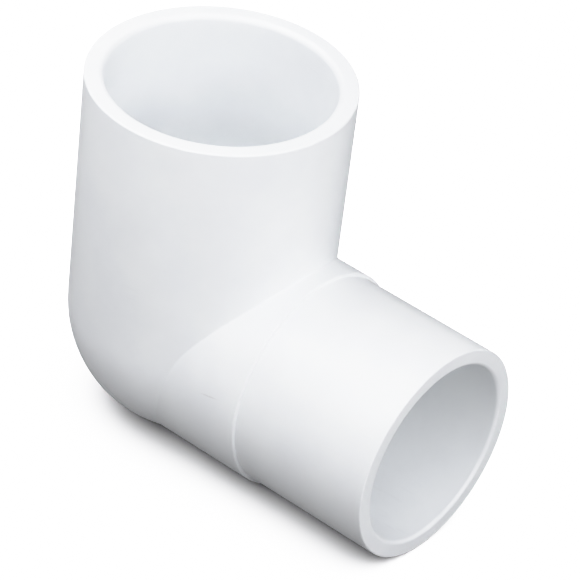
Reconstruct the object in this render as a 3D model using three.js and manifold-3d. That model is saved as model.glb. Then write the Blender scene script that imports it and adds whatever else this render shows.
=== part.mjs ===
// Street elbow for 1-1/2 in PVC pipe: a 90 degree moulding with a socket hub at one end and a
// plain spigot at the other. Millimetres, +Z up the socket, +X out along the spigot.
import * as THREE from 'three';
import { mergeVertices } from 'three/addons/utils/BufferGeometryUtils.js';
import Module from 'manifold-3d';

const wasm = await Module();
wasm.setup();

// ---- Driving dimensions ----
const pipe = {
  outerRadius: 24.13, // 1.900 in outside diameter
  boreRadius: 20.45, // 1.610 in inside diameter
};

const hub = {
  mouthRadius: 28.45, // outside, at the mouth
  draft: 0.006, // the outside narrows by this much per millimetre down from the mouth
  mouthZ: 59.3, // mouth plane above the spigot's axis
  edgeRound: 0.4, // outer edge of the mouth
};

const socket = {
  depth: 33.3, // 1-5/16 in, mouth to pipe stop
  entryRadius: 24.28, // 1.912 in socket entrance diameter
  stopRadius: 24.05, // 1.894 in socket bottom diameter
  leadInRound: 1.3, // rounded inner edge that guides the pipe in
};

const shoulder = {
  radius: 24.85, // collar that stops the spigot in the next fitting
  faceX: 32.25,
  edgeRound: 0.35,
};

const spigot = {
  endX: 66.15, // end plane from the socket's axis
  outerEdgeRound: 0.3,
  innerEdgeRound: 0.8,
};

const roundSteps = 96; // facets round every bore and barrel
const arcSteps = 4; // facets across a rounded edge
const bowlSteps = 16; // facets down the rounded heel
const coreSteps = 10; // facets down the round bottom of the waterway
const coreOverrun = 5; // the cores pass both end faces of the body by this much

// ---- Worked out from them ----
const stopZ = hub.mouthZ - socket.depth;
const bowlRadius = hubRadiusAt(0);
const bowlCentreZ = bowlRadius - shoulder.radius; // puts the heel flush with the collar underneath
const centreX = (spigot.endX - hub.mouthRadius) / 2;

function hubRadiusAt(z) {
  return hub.mouthRadius - hub.draft * (hub.mouthZ - z);
}

// ---- Profiles: [radius, height] points for a lathe ----

// Points of an arc from one angle to another, in degrees, round a centre.
function arc(centreR, centreH, radius, fromDeg, toDeg, steps) {
  const points = [];
  for (let i = 0; i <= steps; i += 1) {
    const angle = THREE.MathUtils.degToRad(fromDeg + ((toDeg - fromDeg) * i) / steps);
    points.push([centreR + radius * Math.cos(angle), centreH + radius * Math.sin(angle)]);
  }
  return points;
}

// Closed wall of the hub above the pipe stop.
function hubProfile() {
  const { mouthRadius, mouthZ, edgeRound } = hub;
  const start = [socket.stopRadius, stopZ];
  return [
    start,
    [hubRadiusAt(stopZ), stopZ],
    ...arc(mouthRadius - edgeRound, mouthZ - edgeRound, edgeRound, 0, 90, arcSteps),
    ...arc(socket.entryRadius + socket.leadInRound, mouthZ - socket.leadInRound, socket.leadInRound, 90, 180, arcSteps),
    start,
  ];
}

// Outside of the hub below the pipe stop, from the rounded heel up.
function heelProfile() {
  return [
    [0, bowlCentreZ - bowlRadius],
    ...arc(0, bowlCentreZ, bowlRadius, -90, 0, bowlSteps).slice(1),
    [hubRadiusAt(stopZ), stopZ],
    [0, stopZ],
  ];
}

// Solid collar from the socket's axis out to the shoulder face.
function collarProfile() {
  const { radius, faceX, edgeRound } = shoulder;
  return [
    [0, 0],
    [radius, 0],
    ...arc(radius - edgeRound, faceX - edgeRound, edgeRound, 0, 90, arcSteps),
    [0, faceX],
  ];
}

// Closed wall of the spigot beyond the shoulder.
function spigotProfile() {
  const { endX, outerEdgeRound, innerEdgeRound } = spigot;
  const start = [pipe.boreRadius, shoulder.faceX];
  return [
    start,
    [pipe.outerRadius, shoulder.faceX],
    ...arc(pipe.outerRadius - outerEdgeRound, endX - outerEdgeRound, outerEdgeRound, 0, 90, arcSteps),
    ...arc(pipe.boreRadius + innerEdgeRound, endX - innerEdgeRound, innerEdgeRound, 90, 180, arcSteps),
    start,
  ];
}

// Core of the riser: a straight bore with a round bottom, level with the arm's.
function riserCoreProfile() {
  return [
    [0, -pipe.boreRadius],
    ...arc(0, 0, pipe.boreRadius, -90, 0, coreSteps).slice(1),
    [pipe.boreRadius, stopZ + coreOverrun],
    [0, stopZ + coreOverrun],
  ];
}

// Core of the arm: a straight bore from the riser's axis.
function armCoreProfile() {
  return [
    [0, 0],
    [pipe.boreRadius, 0],
    [pipe.boreRadius, shoulder.faceX + coreOverrun],
    [0, shoulder.faceX + coreOverrun],
  ];
}

// ---- Turned shapes ----

function turned(profile) {
  const points = profile.map(([radius, height]) => new THREE.Vector2(radius, height));
  return new THREE.LatheGeometry(points, roundSteps);
}

const turnedUp = (profile) => turned(profile).rotateX(Math.PI / 2); // axis along +Z
const turnedOut = (profile) => turned(profile).rotateZ(-Math.PI / 2); // axis along +X

function solidOf(geometry) {
  const bare = geometry.clone();
  bare.deleteAttribute('normal');
  bare.deleteAttribute('uv');
  const welded = mergeVertices(bare, 1e-3);
  return new wasm.Manifold(new wasm.Mesh({
    numProp: 3,
    vertProperties: new Float32Array(welded.attributes.position.array),
    triVerts: new Uint32Array(welded.index.array),
  }));
}

function geometryOf(solid) {
  const mesh = solid.getMesh();
  const geometry = new THREE.BufferGeometry();
  geometry.setAttribute('position', new THREE.BufferAttribute(mesh.vertProperties, 3));
  geometry.setIndex(new THREE.BufferAttribute(mesh.triVerts, 1));
  geometry.computeVertexNormals();
  return geometry;
}

// ---- Sections of the moulding, meeting face to face ----

const whitePvc = new THREE.MeshStandardMaterial({ color: '#eef0f2', roughness: 0.32, metalness: 0 });

function section(name, geometry) {
  const mesh = new THREE.Mesh(geometry, whitePvc.clone());
  mesh.name = name;
  return mesh;
}

function socketHub() {
  return section('socket_hub', turnedUp(hubProfile()));
}

function elbowBody() {
  const outside = solidOf(turnedUp(heelProfile())).add(solidOf(turnedOut(collarProfile())));
  const cores = solidOf(turnedUp(riserCoreProfile())).add(solidOf(turnedOut(armCoreProfile())));
  return section('elbow_body', geometryOf(outside.subtract(cores)));
}

function spigotEnd() {
  return section('spigot', turnedOut(spigotProfile()));
}

// The origin is under the middle of the fitting, on the surface it rests on.
const elbow = new THREE.Group();
elbow.name = 'street_elbow';
elbow.position.set(-centreX, 0, shoulder.radius);
elbow.add(socketHub(), elbowBody(), spigotEnd());

export default elbow;
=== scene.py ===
import math

import bmesh
import bpy
import numpy as np
from mathutils import Euler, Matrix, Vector


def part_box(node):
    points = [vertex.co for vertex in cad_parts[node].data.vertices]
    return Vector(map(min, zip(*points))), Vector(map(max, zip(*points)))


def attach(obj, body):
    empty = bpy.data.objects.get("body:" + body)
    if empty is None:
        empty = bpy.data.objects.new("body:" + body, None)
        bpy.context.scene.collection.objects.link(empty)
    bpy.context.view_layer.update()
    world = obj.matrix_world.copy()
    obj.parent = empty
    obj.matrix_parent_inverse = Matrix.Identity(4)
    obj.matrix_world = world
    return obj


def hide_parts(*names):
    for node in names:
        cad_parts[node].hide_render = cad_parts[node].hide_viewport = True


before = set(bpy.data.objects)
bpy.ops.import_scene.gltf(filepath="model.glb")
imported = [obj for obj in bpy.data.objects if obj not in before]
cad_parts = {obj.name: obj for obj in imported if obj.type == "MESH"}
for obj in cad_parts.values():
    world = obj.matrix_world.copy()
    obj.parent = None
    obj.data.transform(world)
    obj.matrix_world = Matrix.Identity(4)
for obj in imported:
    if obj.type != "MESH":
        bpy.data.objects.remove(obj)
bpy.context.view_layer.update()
print("frame loaded")

mm = 0.001

# Where the moulding's sections sit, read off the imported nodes, in millimetres.
hubLow, hubHigh = (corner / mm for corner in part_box("socket_hub"))
bodyLow, bodyHigh = (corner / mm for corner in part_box("elbow_body"))
spigotLow, spigotHigh = (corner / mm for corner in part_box("spigot"))
crossing = Vector(((hubLow.x + hubHigh.x) / 2, 0, (spigotLow.z + spigotHigh.z) / 2))  # the two axes meet here

elbow = {
    "mouthRadius": (hubHigh.x - hubLow.x) / 2,
    "mouthHeight": hubHigh.z - crossing.z,
    "stopHeight": hubLow.z - crossing.z,
    "hubDraft": 0.006,        # the hub narrows downwards by this much per mm
    "collarRadius": crossing.z - bodyLow.z,
    "shoulderOut": spigotLow.x - crossing.x,
    "spigotRadius": (spigotHigh.z - spigotLow.z) / 2,
    "endOut": spigotHigh.x - crossing.x,
    "waterwayRadius": 20.45,
    "socketEntryRadius": 24.28,
    "socketStopRadius": 24.05,
    "mouthInnerRound": 1.3,   # lead-in inside the mouth
    "endInnerRound": 0.8,     # inner edge of the spigot's end
    "mouthRound": 0.4,        # outer edge of the mouth
    "endRound": 0.3,
    "shoulderRound": 0.35,
    "smallRound": 0.16,       # every other moulded edge and corner
    "creaseFillet": 0.4,      # inside corner where the collar leaves the hub
    "bendRound": 1.5,         # inside edge of the bend's waterway
}

rings = {
    "columns": 288,       # faces round every ring
    "roundSteps": 7,      # across each rounded edge
    "hold": 0.06,         # mm either side of a rounded edge, where one more ring keeps it crisp
    "wall": 73,           # from the mouth to the crease
    "wallEase": 1.5,      # over 1 brings them closer together near the crease
    "fillet": 8,          # across the crease's fillet
    "collar": 12,
    "collarEase": 1.4,    # over 1 brings them closer together near the crease
    "waterway": 16,       # from the spigot's end to the bend
    "bend": 15,
    "riser": 10,          # from the bend to the pipe stop
    "longestStep": 3.0,   # mm between rings on a straight stretch
    "runIn": 2.0,         # mm of straight before the first rounded edge and after the last
    "boreRunIn": 3.0,     # mm of bore made together with the spigot's end
    "mergeDistance": 2e-6,    # metres
    "sliverLength": 1e-7,     # metres
}


def straightPoints(start, end, steps):
    # evenly spaced points from start to end, without the last one
    shares = np.arange(steps) / steps
    return [(start[0] + (end[0] - start[0]) * s, start[1] + (end[1] - start[1]) * s) for s in shares]


def roundedPath(corners, rounds):
    # a line through the corners with each inner corner rounded, and a held point either side of it
    points = [corners[0]]
    for before, corner, after, radius in zip(corners, corners[1:], corners[2:], rounds):
        here = np.array(corner, float)
        toBefore = np.array(before, float) - here
        toAfter = np.array(after, float) - here
        toBefore /= np.linalg.norm(toBefore)
        toAfter /= np.linalg.norm(toAfter)
        halfAngle = math.acos(np.clip(toBefore @ toAfter, -1, 1)) / 2
        reach = radius / math.tan(halfAngle)
        inwards = (toBefore + toAfter) / np.linalg.norm(toBefore + toAfter)
        centre = here + inwards * radius / math.sin(halfAngle)
        startArm = here + toBefore * reach - centre
        endArm = here + toAfter * reach - centre
        points.append(tuple(here + toBefore * (reach + rings["hold"])))
        for share in np.linspace(0, 1, rings["roundSteps"] + 1):
            points.append(tuple(centre + blendArms(startArm, endArm, share)))
        points.append(tuple(here + toAfter * (reach + rings["hold"])))
    points.append(corners[-1])
    return points


def blendArms(first, second, share):
    # turns one arm into the other at an even rate
    turn = math.acos(np.clip(first @ second / np.linalg.norm(first) / np.linalg.norm(second), -1, 1))
    if turn < 1e-6:
        return first
    return (first * math.sin((1 - share) * turn) + second * math.sin(share * turn)) / math.sin(turn)


def hubRadiusAt(height):
    return elbow["mouthRadius"] - elbow["hubDraft"] * (elbow["mouthHeight"] - height)


bowlRadius = hubRadiusAt(0)
bowlCentre = np.array((0, 0, bowlRadius - elbow["collarRadius"]))  # leaves the heel flush with the collar

armTurns = np.linspace(0, 2 * math.pi, rings["columns"], endpoint=False)  # from the top, towards -Y


def filletBall(turn):
    # centre of a ball that rolls in the corner between collar and hub
    fillet = elbow["creaseFillet"]
    reach = elbow["collarRadius"] + fillet
    side, height = -reach * math.sin(turn), reach * math.cos(turn)
    if height >= bowlCentre[2]:
        outSquared = (hubRadiusAt(height) + fillet) ** 2 - side ** 2
    else:
        outSquared = (bowlRadius + fillet) ** 2 - side ** 2 - (height - bowlCentre[2]) ** 2
    return np.array((math.sqrt(max(outSquared, 0)), side, height))


def hubTouch(ball):
    fillet = elbow["creaseFillet"]
    if ball[2] >= bowlCentre[2]:
        hubRadius = hubRadiusAt(ball[2])
        return np.array((*(ball[:2] * hubRadius / (hubRadius + fillet)), ball[2]))
    return bowlCentre + (ball - bowlCentre) * bowlRadius / (bowlRadius + fillet)


def collarTouch(ball):
    share = elbow["collarRadius"] / (elbow["collarRadius"] + elbow["creaseFillet"])
    return np.array((ball[0], ball[1] * share, ball[2] * share))


balls = [filletBall(turn) for turn in armTurns]
hubTouches = [hubTouch(ball) for ball in balls]
collarTouches = [collarTouch(ball) for ball in balls]


def hubTurnsOfColumns():
    # a column goes straight down the hub where the crease crosses the barrel;
    # the others share the back evenly
    half = rings["columns"] // 2
    turns = np.zeros(rings["columns"])
    last = max(i for i in range(half) if hubTouches[i][2] >= bowlCentre[2])
    for i in range(last + 1):
        turns[i] = math.atan2(-hubTouches[i][1], hubTouches[i][0])
    for i in range(last + 1, half + 1):
        turns[i] = turns[last] + (math.pi - turns[last]) * (i - last) / (half - last)
    for i in range(half + 1, rings["columns"]):
        turns[i] = 2 * math.pi - turns[rings["columns"] - i]
    return turns


hubTurns = hubTurnsOfColumns()


def hubRing(radius, height, turns=hubTurns):
    return np.stack((radius * np.cos(turns), -radius * np.sin(turns), np.full(len(turns), height)), axis=1)


def armRing(radius, out, turns=armTurns):
    return np.stack((np.full(len(turns), out), -radius * np.sin(turns), radius * np.cos(turns)), axis=1)


def wallPath(column, share):
    # a point on the way from the hub's mouth to the crease: down the barrel, then round the heel
    turn, touch = hubTurns[column], hubTouches[column]
    topHeight = elbow["mouthHeight"] - elbow["mouthRound"] - rings["hold"]
    onBarrel = touch[2] >= bowlCentre[2]
    barrelEnd = touch[2] if onBarrel else bowlCentre[2]
    barrelLength = topHeight - barrelEnd
    edge = bowlRadius * np.array((math.cos(turn), -math.sin(turn), 0))
    toTouch = touch - bowlCentre
    heelLength = 0 if onBarrel else bowlRadius * math.acos(np.clip(edge @ toTouch / bowlRadius ** 2, -1, 1))
    travelled = share * (barrelLength + heelLength)
    if travelled <= barrelLength:
        height = topHeight - travelled
        radius = hubRadiusAt(height)
        return np.array((radius * math.cos(turn), -radius * math.sin(turn), height))
    return bowlCentre + blendArms(edge, toTouch, (travelled - barrelLength) / heelLength)


def outsideRings():
    made = []
    for share in 1 - (1 - np.linspace(0, 1, rings["wall"])) ** rings["wallEase"]:
        made.append(np.array([wallPath(i, share) for i in range(rings["columns"])]))
    for share in np.linspace(0, 1, rings["fillet"])[1:-1]:
        made.append(np.array([
            ball + blendArms(onHub - ball, onCollar - ball, share)
            for ball, onHub, onCollar in zip(balls, hubTouches, collarTouches)
        ]))
    shoulderStart = elbow["shoulderOut"] - elbow["shoulderRound"] - rings["hold"]
    for share in np.linspace(0, 1, rings["collar"]) ** rings["collarEase"]:
        made.append(np.array([
            (onCollar[0] + (shoulderStart - onCollar[0]) * share, onCollar[1], onCollar[2])
            for onCollar in collarTouches
        ]))
    return made


def armRings():
    # shoulder, spigot and its end face, as (radius, out) points
    collar, spigot, bore = elbow["collarRadius"], elbow["spigotRadius"], elbow["waterwayRadius"]
    shoulder, end = elbow["shoulderOut"], elbow["endOut"]
    path = roundedPath(
        [(collar, shoulder - rings["runIn"]), (collar, shoulder), (spigot, shoulder),
         (spigot, end), (bore, end), (bore, end - rings["boreRunIn"])],
        [elbow["shoulderRound"], elbow["smallRound"], elbow["endRound"], elbow["endInnerRound"]],
    )
    return [armRing(radius, out) for radius, out in addSteps(path[2:])]


def addSteps(path):
    # splits long straight stretches
    points = []
    for start, end in zip(path, path[1:]):
        steps = max(1, math.ceil(math.dist(start, end) / rings["longestStep"]))
        points += straightPoints(start, end, steps)
    return points + [path[-1]]


def waterwayRings():
    # back from the spigot's end, round the bend and up to the pipe stop
    bore, bend = elbow["waterwayRadius"], elbow["bendRound"]
    start = elbow["endOut"] - rings["boreRunIn"]
    made = []
    for step in range(1, rings["waterway"] + 1):
        share = step / rings["waterway"]
        # the columns turn smoothly from the arm's spacing to the hub's on the way
        turns = armTurns + (hubTurns - armTurns) * (3 * share ** 2 - 2 * share ** 3)
        straightEnd = np.where(np.cos(turns) > 0, bore * np.cos(turns) + bend, bend)
        ring = armRing(bore, 0, turns)
        ring[:, 0] = start + (straightEnd - start) * share
        made.append(ring)
    for angle in np.radians(np.linspace(90, 0, rings["bend"]))[1:]:
        up = bore * np.cos(hubTurns)
        centre = np.maximum(up, 0) + bend
        reach = centre - up
        made.append(np.stack((
            centre - reach * math.cos(angle), -bore * np.sin(hubTurns), centre - reach * math.sin(angle)
        ), axis=1))
    low = made[-1][:, 2]
    top = elbow["stopHeight"] - 2 * elbow["smallRound"]
    for share in np.linspace(0, 1, rings["riser"])[1:-1]:
        ring = hubRing(bore, 0)
        ring[:, 2] = low + (top - low) * share
        made.append(ring)
    return made


def socketRings():
    # stop ledge, socket, lead-in and mouth face, as (radius, height) points
    bore, stop, mouth = elbow["waterwayRadius"], elbow["stopHeight"], elbow["mouthHeight"]
    belowMouth = mouth - rings["runIn"]
    path = roundedPath(
        [(bore, stop - rings["runIn"]), (bore, stop), (elbow["socketStopRadius"], stop),
         (elbow["socketEntryRadius"], mouth), (elbow["mouthRadius"], mouth),
         (hubRadiusAt(belowMouth), belowMouth)],
        [elbow["smallRound"], elbow["smallRound"], elbow["mouthInnerRound"], elbow["mouthRound"]],
    )
    return [hubRing(radius, height) for radius, height in addSteps(path[1:-2])]


def mouldedSkin():
    made = outsideRings() + armRings() + waterwayRings() + socketRings()
    columns = rings["columns"]
    points = (np.concatenate(made) + np.array(crossing)) * mm
    faces = []
    for row in range(len(made)):
        here, there = row * columns, ((row + 1) % len(made)) * columns
        for i in range(columns):
            j = (i + 1) % columns
            faces.append((here + i, there + i, there + j, here + j))
    mesh = bpy.data.meshes.new("street_elbow")
    mesh.from_pydata(points.tolist(), [], faces)
    piece = bpy.data.objects.new("street_elbow", mesh)
    bpy.context.scene.collection.objects.link(piece)
    return piece


def cleaned(piece):
    # closes the points that meet where the fillet runs out under the heel, and turns the faces outwards
    work = bmesh.new()
    work.from_mesh(piece.data)
    bmesh.ops.remove_doubles(work, verts=work.verts, dist=rings["mergeDistance"])
    bmesh.ops.dissolve_degenerate(work, edges=work.edges, dist=rings["sliverLength"])
    bmesh.ops.recalc_face_normals(work, faces=work.faces)
    for face in work.faces:
        face.smooth = True
    work.to_mesh(piece.data)
    openEdges = sum(not edge.is_manifold for edge in work.edges)
    print("skin:", len(work.faces), "faces,", openEdges, "open edges, volume cm3", work.calc_volume() * 1e6)
    work.free()
    return piece


def linearColour(hexText):
    channels = [int(hexText[i:i + 2], 16) / 255 for i in (1, 3, 5)]
    return [c / 12.92 if c <= 0.04045 else ((c + 0.055) / 1.055) ** 2.4 for c in channels] + [1.0]


def addNode(owner, kind, settings=None, **links):
    # adds a node and sets its properties, and its sockets by name or number;
    # links are given by socket name, or as at0, at1... for a socket's number
    node = owner.node_tree.nodes.new(kind)
    settings = settings or {}
    properties = [name for name in settings if isinstance(name, str) and hasattr(node, name)]
    for name in properties:
        setattr(node, name, settings[name])
    for name in settings:
        if name not in properties:
            node.inputs[name].default_value = settings[name]
    for name, source in links.items():
        socket = node.inputs[int(name[2:])] if name.startswith("at") else node.inputs[name.replace("_", " ")]
        owner.node_tree.links.new(source, socket)
    return node


# Rigid PVC, injection moulded in a fine-blasted steel tool. The eye gets a cool white that hardly varies
# and a satin sheen: the blasted grain breaks up each highlight, the walls are very slightly wavy from
# cooling, the melt left soft clouds a shade greyer, and handling left the odd rub mark and speck.
mouldedPvc = {
    "colour": "#F5F7F8",
    "cloudColour": "#F0F2F4",   # a shade greyer, in soft patches
    "speckColour": "#B9B4AA",   # regrind and dust specks
    "rubColour": "#C9CBCC",     # where other fittings rubbed against it
    "rubStrength": 0.1,
    "roughness": 0.36,
    "roughnessSpread": 0.07,    # how far the grain and the clouds move it either way
    "grainShare": 0.6,          # of that spread; the clouds give the rest
    "patternReach": (0.2, 0.8),   # what the two add up to, at the least and the most
    "rubRoughness": 0.10,       # rubbed plastic is duller by this much
    "ior": 1.54,
    "cloudSize": 16.0,          # mm
    "cloudEdges": (0.35, 0.65),   # noise levels between which a cloud fades in
    "grainSize": 0.35,          # mm; the blasted grain is nearer 0.1, drawn coarser so that it shows
    "grainHeight": 0.004,       # mm
    "waveSize": 11.0,           # mm
    "waveHeight": 0.03,         # mm
    "speckSize": 0.30,          # mm
    "speckSpacing": 9.0,        # mm
    "speckSoftEdge": 0.6,       # a speck fades from this part of its radius outwards
    "speckPick": (0.5, 0.6),    # about half of the places have a speck
    "speckStrength": 0.7,
    "rubLength": 9.0,           # mm
    "rubWidth": 0.25,           # mm
    "rubEdges": (0.62, 0.72),   # only the peaks of the noise are marks
    "rubSpacing": 24.0,         # mm between rubbed patches
    "rubPatchEdges": (0.56, 0.68),
    "rubTilt": (0.38, -0.75, 0.2),   # radians, so that the marks cross both tubes
    "scuff": {
        "place": (24.85, -24.7, 3.8),   # from the crossing of the two axes, mm
        "halfSize": (2.9, 1.2, 0.24),   # mm
        "tilt": -10,                    # degrees
        "softEdge": 0.6,
        "grainEdges": (0.3, 0.55),      # the grain breaks it up
        "grainFloor": 0.3,
        "colour": "#A39C98",
        "strength": 0.2,
    },
}


def mouldedPvcMaterial():
    look = mouldedPvc
    scuff = look["scuff"]
    material = bpy.data.materials.new("moulded_white_pvc")
    material.use_nodes = True
    shader = material.node_tree.nodes["Principled BSDF"]
    shader.inputs["IOR"].default_value = look["ior"]
    place = addNode(material, "ShaderNodeTexCoord").outputs["Object"]

    # patterns that everything below is made from; each noise's features are that many millimetres across
    cloudNoise = addNode(material, "ShaderNodeTexNoise", {
        "Scale": 1 / (look["cloudSize"] * mm), "Detail": 3.0,
    }, Vector=place).outputs["Fac"]
    clouds = addNode(material, "ShaderNodeMapRange", {
        "From Min": look["cloudEdges"][0], "From Max": look["cloudEdges"][1],
    }, Value=cloudNoise).outputs["Result"]
    grain = addNode(material, "ShaderNodeTexNoise", {
        "Scale": 1 / (look["grainSize"] * mm), "Detail": 3.0, "Roughness": 0.6,
    }, Vector=place).outputs["Fac"]
    waves = addNode(material, "ShaderNodeTexNoise", {
        "Scale": 1 / (look["waveSize"] * mm), "Detail": 1.0,
    }, Vector=place).outputs["Fac"]

    # specks: the middles of scattered cells, with some of them left out
    cells = addNode(material, "ShaderNodeTexVoronoi", {
        "Scale": 1 / (look["speckSpacing"] * mm),
    }, Vector=place)
    speckReach = look["speckSize"] / 2 / look["speckSpacing"]
    nearMiddle = addNode(material, "ShaderNodeMapRange", {
        "From Min": speckReach * look["speckSoftEdge"], "From Max": speckReach, "To Min": 1.0, "To Max": 0.0,
    }, Value=cells.outputs["Distance"]).outputs["Result"]
    cellPick = addNode(material, "ShaderNodeSeparateColor", at0=cells.outputs["Color"]).outputs["Red"]
    cellPick = addNode(material, "ShaderNodeMapRange", {
        "From Min": look["speckPick"][0], "From Max": look["speckPick"][1],
        "To Min": 0.0, "To Max": look["speckStrength"],
    }, Value=cellPick).outputs["Result"]
    specks = addNode(material, "ShaderNodeMath", {"operation": "MULTIPLY"}, at0=nearMiddle, at1=cellPick)
    specks = specks.outputs["Value"]

    # rub marks: thin sheets of noise, tilted so that they cross both tubes as lines, kept to their peaks
    turned = addNode(material, "ShaderNodeMapping", {
        "Rotation": look["rubTilt"],
        "Scale": tuple(1 / (look[size] * mm) for size in ("rubLength", "rubLength", "rubWidth")),
    }, Vector=place).outputs["Vector"]
    streaks = addNode(material, "ShaderNodeTexNoise", {
        "Scale": 1.0, "Detail": 1.0,
    }, Vector=turned).outputs["Fac"]
    streaks = addNode(material, "ShaderNodeMapRange", {
        "From Min": look["rubEdges"][0], "From Max": look["rubEdges"][1],
    }, Value=streaks).outputs["Result"]
    patches = addNode(material, "ShaderNodeTexNoise", {
        "Scale": 1 / (look["rubSpacing"] * mm), "Detail": 2.0,
    }, Vector=place).outputs["Fac"]
    patches = addNode(material, "ShaderNodeMapRange", {
        "From Min": look["rubPatchEdges"][0], "From Max": look["rubPatchEdges"][1],
    }, Value=patches).outputs["Result"]
    rubs = addNode(material, "ShaderNodeMath", {"operation": "MULTIPLY"}, at0=streaks, at1=patches)
    rubs = rubs.outputs["Value"]

    # one scuff on the collar's side, a thin spindle broken up by the grain
    spindle = addNode(material, "ShaderNodeMapping", {
        "vector_type": "TEXTURE",
        "Location": tuple((crossing + Vector(scuff["place"])) * mm),
        "Rotation": (0, math.radians(scuff["tilt"]), 0),
        "Scale": tuple(half * mm for half in scuff["halfSize"]),
    }, Vector=place).outputs["Vector"]
    spindle = addNode(material, "ShaderNodeTexGradient", {
        "gradient_type": "SPHERICAL",
    }, Vector=spindle).outputs["Fac"]
    spindle = addNode(material, "ShaderNodeMapRange", {
        "From Min": 0.0, "From Max": scuff["softEdge"], "To Min": 0.0, "To Max": scuff["strength"],
    }, Value=spindle).outputs["Result"]
    broken = addNode(material, "ShaderNodeMapRange", {
        "From Min": scuff["grainEdges"][0], "From Max": scuff["grainEdges"][1],
        "To Min": scuff["grainFloor"], "To Max": 1.0,
    }, Value=grain).outputs["Result"]
    scuffed = addNode(material, "ShaderNodeMath", {"operation": "MULTIPLY"}, at0=spindle, at1=broken)
    scuffed = scuffed.outputs["Value"]

    # colour, from the plain plastic up; a colour mix takes its colours at sockets 6 and 7 and gives them at 2
    rubTint = addNode(material, "ShaderNodeMath", {
        "operation": "MULTIPLY", 1: look["rubStrength"],
    }, at0=rubs).outputs["Value"]
    colour = addNode(material, "ShaderNodeMix", {
        "data_type": "RGBA", 6: linearColour(look["colour"]), 7: linearColour(look["cloudColour"]),
    }, at0=clouds).outputs[2]
    for tint, share in (("speckColour", specks), ("rubColour", rubTint)):
        colour = addNode(material, "ShaderNodeMix", {
            "data_type": "RGBA", 7: linearColour(look[tint]),
        }, at0=share, at6=colour).outputs[2]
    colour = addNode(material, "ShaderNodeMix", {
        "data_type": "RGBA", 7: linearColour(scuff["colour"]),
    }, at0=scuffed, at6=colour).outputs[2]
    material.node_tree.links.new(colour, shader.inputs["Base Color"])

    # roughness: the grain and the clouds either side of the middle value, and more on the rub marks
    grainPart = addNode(material, "ShaderNodeMath", {
        "operation": "MULTIPLY", 1: look["grainShare"],
    }, at0=grain).outputs["Value"]
    cloudPart = addNode(material, "ShaderNodeMath", {
        "operation": "MULTIPLY", 1: 1 - look["grainShare"],
    }, at0=clouds).outputs["Value"]
    roughness = addNode(material, "ShaderNodeMath", {"operation": "ADD"}, at0=grainPart, at1=cloudPart)
    roughness = addNode(material, "ShaderNodeMapRange", {
        "From Min": look["patternReach"][0], "From Max": look["patternReach"][1],
        "To Min": look["roughness"] - look["roughnessSpread"],
        "To Max": look["roughness"] + look["roughnessSpread"],
    }, Value=roughness.outputs["Value"]).outputs["Result"]
    rubDullness = addNode(material, "ShaderNodeMath", {
        "operation": "MULTIPLY", 1: look["rubRoughness"],
    }, at0=rubs).outputs["Value"]
    roughness = addNode(material, "ShaderNodeMath", {"operation": "ADD"}, at0=roughness, at1=rubDullness)
    material.node_tree.links.new(roughness.outputs["Value"], shader.inputs["Roughness"])

    # relief, in metres
    grainRelief = addNode(material, "ShaderNodeMath", {
        "operation": "MULTIPLY", 1: look["grainHeight"] * mm,
    }, at0=grain).outputs["Value"]
    waveRelief = addNode(material, "ShaderNodeMath", {
        "operation": "MULTIPLY", 1: look["waveHeight"] * mm,
    }, at0=waves).outputs["Value"]
    relief = addNode(material, "ShaderNodeMath", {"operation": "ADD"}, at0=grainRelief, at1=waveRelief)
    bump = addNode(material, "ShaderNodeBump", {
        "Strength": 1.0, "Distance": 1.0,
    }, Height=relief.outputs["Value"])
    material.node_tree.links.new(bump.outputs["Normal"], shader.inputs["Normal"])
    return material


skin = cleaned(mouldedSkin())
skin.data.materials.append(mouldedPvcMaterial())
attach(skin, "root")
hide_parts("socket_hub", "elbow_body", "spigot")
print("elbow made")

studio = {
    "sheetHalfSize": 1.5,      # metres
    "paperColour": "#7C7C7C",  # grey card that its own lamp brings up to white, so the shadow stays deep
    "paperRoughness": 0.9,
    "paperSpecular": 0.1,      # uncoated card hardly shines
    "tableColour": "#838383",  # what lights the elbow from below: darker than the card looks
    "tableDepth": 0.0002,      # metres under the card
    "glowColour": "#FDFDFF",
    "glowStrength": 4.8,       # low band of light round the horizon
    "glowEdge": 0.15,          # how far up it fades, as the height of a unit direction
    "lampAim": 0.04,           # height the lamps point at, metres
    "lampColour": "#FDFDFF",   # a touch cool
}


def flatSheet(name, height, material):
    half = studio["sheetHalfSize"]
    corners = [(-half, -half, height), (half, -half, height), (half, half, height), (-half, half, height)]
    mesh = bpy.data.meshes.new(name)
    mesh.from_pydata(corners, [], [(0, 1, 2, 3)])
    mesh.materials.append(material)
    sheet = bpy.data.objects.new(name, mesh)
    bpy.context.scene.collection.objects.link(sheet)
    return sheet


# Uncoated card and board, pressed flat: the eye gets an even tone with next to no shine.
def mattMaterial(name, colour):
    material = bpy.data.materials.new(name)
    material.use_nodes = True
    shader = material.node_tree.nodes["Principled BSDF"]
    shader.inputs["Base Color"].default_value = linearColour(colour)
    shader.inputs["Roughness"].default_value = studio["paperRoughness"]
    shader.inputs["Specular IOR Level"].default_value = studio["paperSpecular"]
    return material


# The card is only looked at; the grey board under it is what lights the elbow from below and reflects in it.
paper = flatSheet("floor", 0, mattMaterial("matt_backdrop_card", studio["paperColour"]))
paper.visible_diffuse = False
paper.visible_glossy = False
paper.visible_transmission = False
paper.visible_shadow = False
table = flatSheet("table", -studio["tableDepth"], mattMaterial("matt_grey_board", studio["tableColour"]))
table.visible_camera = False

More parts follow.
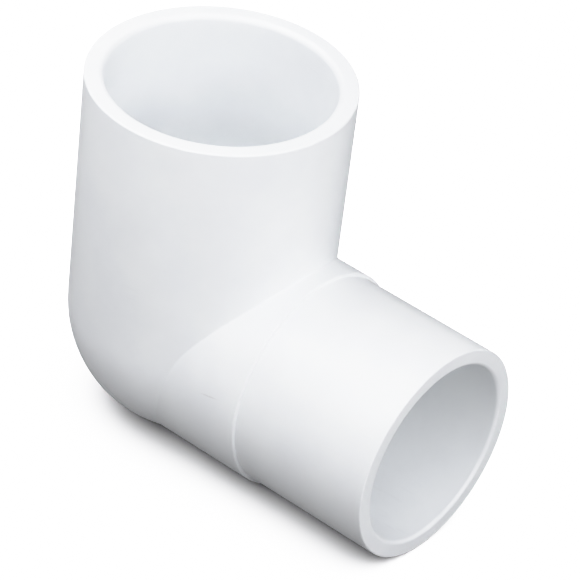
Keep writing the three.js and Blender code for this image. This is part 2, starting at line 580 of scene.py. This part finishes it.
lamps = {
    # azimuth and elevation in degrees, distance, width and height in metres, power in watts
    "keyFront": (37, 50, 0.9, 0.8, 0.8, 3.3),
    "wideRight": (110, 45, 0.9, 1.5, 1.5, 4.4),
    "frontRight": (82, 30, 0.9, 0.6, 0.4, 2.3),
    "back": (217, 45, 0.9, 0.8, 0.8, 1.1),
    "left": (-80, 50, 0.4, 0.3, 0.3, 0.72),
    "frontLeft": (-23, 45, 0.35, 0.3, 0.3, 0.46),
    "paperLamp": (78, 79, 0.6, 1.43, 1.43, 188),
}


def lookDirection(azimuth, elevation):
    # from the object towards something seen at that azimuth and elevation, both in degrees
    a, e = math.radians(azimuth), math.radians(elevation)
    return Vector((math.sin(a) * math.cos(e), -math.cos(a) * math.cos(e), math.sin(e)))


def facing(azimuth, elevation, roll=0):
    # the turn that points a lamp or camera back along that direction
    turn = Euler((math.radians(90 - elevation), 0, math.radians(azimuth)))
    turn.rotate_axis("Z", math.radians(roll))
    return turn


def addLamp(name, azimuth, elevation, distance, width, height, watts):
    data = bpy.data.lights.new(name, "AREA")
    data.shape = "ELLIPSE"
    data.size = width
    data.size_y = height
    data.energy = watts
    data.color = linearColour(studio["lampColour"])[:3]
    lamp = bpy.data.objects.new(name, data)
    lamp.location = Vector((0, 0, studio["lampAim"])) + lookDirection(azimuth, elevation) * distance
    lamp.rotation_euler = facing(azimuth, elevation)
    lamp.visible_camera = False
    bpy.context.scene.collection.objects.link(lamp)
    return lamp


def linkLight(lamp, state):
    # INCLUDE keeps a lamp's light to the card, EXCLUDE keeps it off the card
    receivers = bpy.data.collections.new(lamp.name + "_receivers")
    receivers.objects.link(paper)
    receivers.collection_objects[0].light_linking.link_state = state
    lamp.light_linking.receiver_collection = receivers


# The card reaches white under its own lamp, which leaves only the contact shadow. That lamp leans to the
# right, so the shadow falls mostly under the left side.
for name, values in lamps.items():
    linkLight(addLamp(name, *values), "INCLUDE" if name == "paperLamp" else "EXCLUDE")


def horizonGlow():
    sky = bpy.data.worlds.new("soft_studio_glow")
    sky.use_nodes = True
    background = sky.node_tree.nodes["Background"]
    direction = addNode(sky, "ShaderNodeTexCoord").outputs["Generated"]
    height = addNode(sky, "ShaderNodeSeparateXYZ", at0=direction).outputs["Z"]
    edge = studio["glowEdge"]
    share = addNode(sky, "ShaderNodeMapRange",
                    {"From Min": -edge, "From Max": edge, "To Min": studio["glowStrength"], "To Max": 0.0},
                    Value=height).outputs["Result"]
    background.inputs["Color"].default_value = linearColour(studio["glowColour"])
    sky.node_tree.links.new(share, background.inputs["Strength"])
    return sky


bpy.context.scene.world = horizonGlow()
print("studio lit")

highlights = {
    "start": 0.7,    # tones brighter than this level off towards white instead of clipping, as film does
    "white": 4.0,    # brightest tone the curve covers
    "points": (0.8, 0.9, 1.0, 1.15, 1.35, 1.6, 2.0, 2.6),   # tones where the curve is set
}


def softHighlights():
    settings = bpy.context.scene.view_settings
    settings.view_transform = "Standard"
    settings.use_curve_mapping = True
    mapping = settings.curve_mapping
    mapping.white_level = (highlights["white"],) * 3
    curve = mapping.curves[3]
    start = highlights["start"]
    curve.points.new(start / highlights["white"], start)
    for tone in highlights["points"]:
        curve.points.new(tone / highlights["white"], 1 - (1 - start) * math.exp((start - tone) / (1 - start)))
    for point in curve.points:
        point.handle_type = "VECTOR"
    mapping.update()


softHighlights()

camera = {
    "azimuth": 36.9,
    "elevation": 35.57,
    "roll": 6.96,
    "distance": 777.9,          # mm
    "lens": 225.1,              # mm
    "sensor": 36,               # mm
    "nearest": 0.05,            # metres; nothing closer is drawn
    "farthest": 20,             # metres
    "aim": (12.85, 14.6, 5.54),  # from the crossing of the two axes, mm
}


def placeCamera():
    data = bpy.data.cameras.new("camera")
    data.lens = camera["lens"]
    data.sensor_width = camera["sensor"]
    data.clip_start = camera["nearest"]
    data.clip_end = camera["farthest"]
    piece = bpy.data.objects.new("camera", data)
    towards = lookDirection(camera["azimuth"], camera["elevation"])
    piece.location = (crossing + Vector(camera["aim"]) + towards * camera["distance"]) * mm
    piece.rotation_euler = facing(camera["azimuth"], camera["elevation"], camera["roll"])
    bpy.context.scene.collection.objects.link(piece)
    bpy.context.scene.camera = piece


placeCamera()
print("camera placed")
